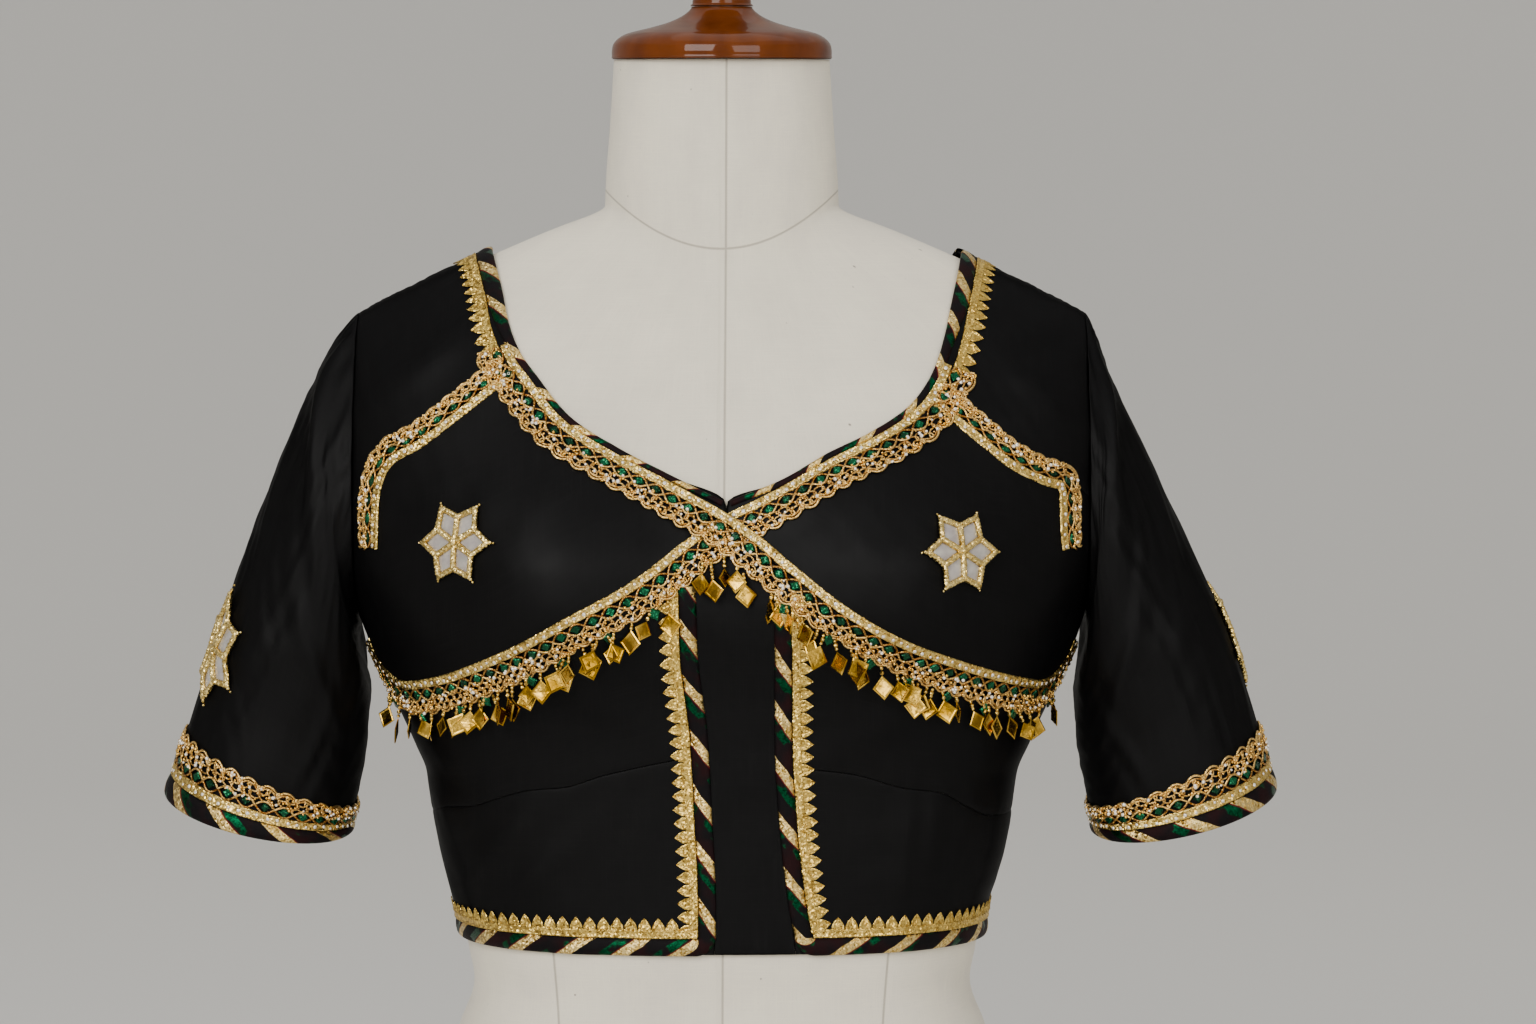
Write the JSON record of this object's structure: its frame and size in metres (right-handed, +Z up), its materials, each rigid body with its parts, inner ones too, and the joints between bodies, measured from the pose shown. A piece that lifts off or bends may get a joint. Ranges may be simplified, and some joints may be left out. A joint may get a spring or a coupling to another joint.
{
  "type": "choli blouse on a limbless dress form",
  "caption": "Cropped south asian blouse in black silk with crossing beaded laces, gilt fringe and striped bindings, on a linen dress form",
  "frame": {"origin": "middle of the overall box's underside, in the plane of the form's flat foot", "axes": "+Z up; the blouse faces -Y; +X is to the right as seen from the front"},
  "size_m": [0.5841, 0.2529, 0.7895],
  "materials": {
    "black_silk": "soft sheen",
    "striped_binding": "glitter stripes",
    "gold_braid": "metallic thread",
    "beaded_lace": "beads and metallic cord",
    "shell": "pearly",
    "gilt_plates": "polished",
    "linen": "matte",
    "wood": "gloss lacquer"
  },
  "bodies": {
    "root": {"back_left": "black_silk", "back_right": "black_silk", "cap_knob": "wood", "crossing_lace_over": "beaded_lace", "crossing_lace_under": "beaded_lace", "cup_lace_left": "beaded_lace", "cup_lace_right": "beaded_lace", "cup_left": "black_silk", "cup_right": "black_silk", "form": "linen", "fringe_left": "gilt_plates", "fringe_right": "gilt_plates", "hem_binding_back": "striped_binding", "hem_picot_back": "gold_braid", "hem_picot_left": "gold_braid", "hem_picot_right": "gold_braid", "midriff_lower_left": "black_silk", "midriff_lower_right": "black_silk", "midriff_upper_left": "black_silk", "midriff_upper_right": "black_silk", "neck_binding_back": "striped_binding", "neck_binding_left": "striped_binding", "neck_binding_right": "striped_binding", "neck_cap": "wood", "neck_picot_back": "gold_braid", "neck_picot_left": "gold_braid", "neck_picot_right": "gold_braid", "placket_binding_left": "striped_binding", "placket_binding_right": "striped_binding", "placket_panel": "black_silk", "placket_picot_left": "gold_braid", "placket_picot_right": "gold_braid", "sleeve_binding_left": "striped_binding", "sleeve_binding_right": "striped_binding", "sleeve_lace_left": "beaded_lace", "sleeve_lace_right": "beaded_lace", "sleeve_left": "black_silk", "sleeve_right": "black_silk", "star_cup_left": "shell", "star_cup_right": "shell", "star_sleeve_left": "shell", "star_sleeve_right": "shell", "yoke_left": "black_silk", "yoke_right": "black_silk"}
  },
  "joints": []
}
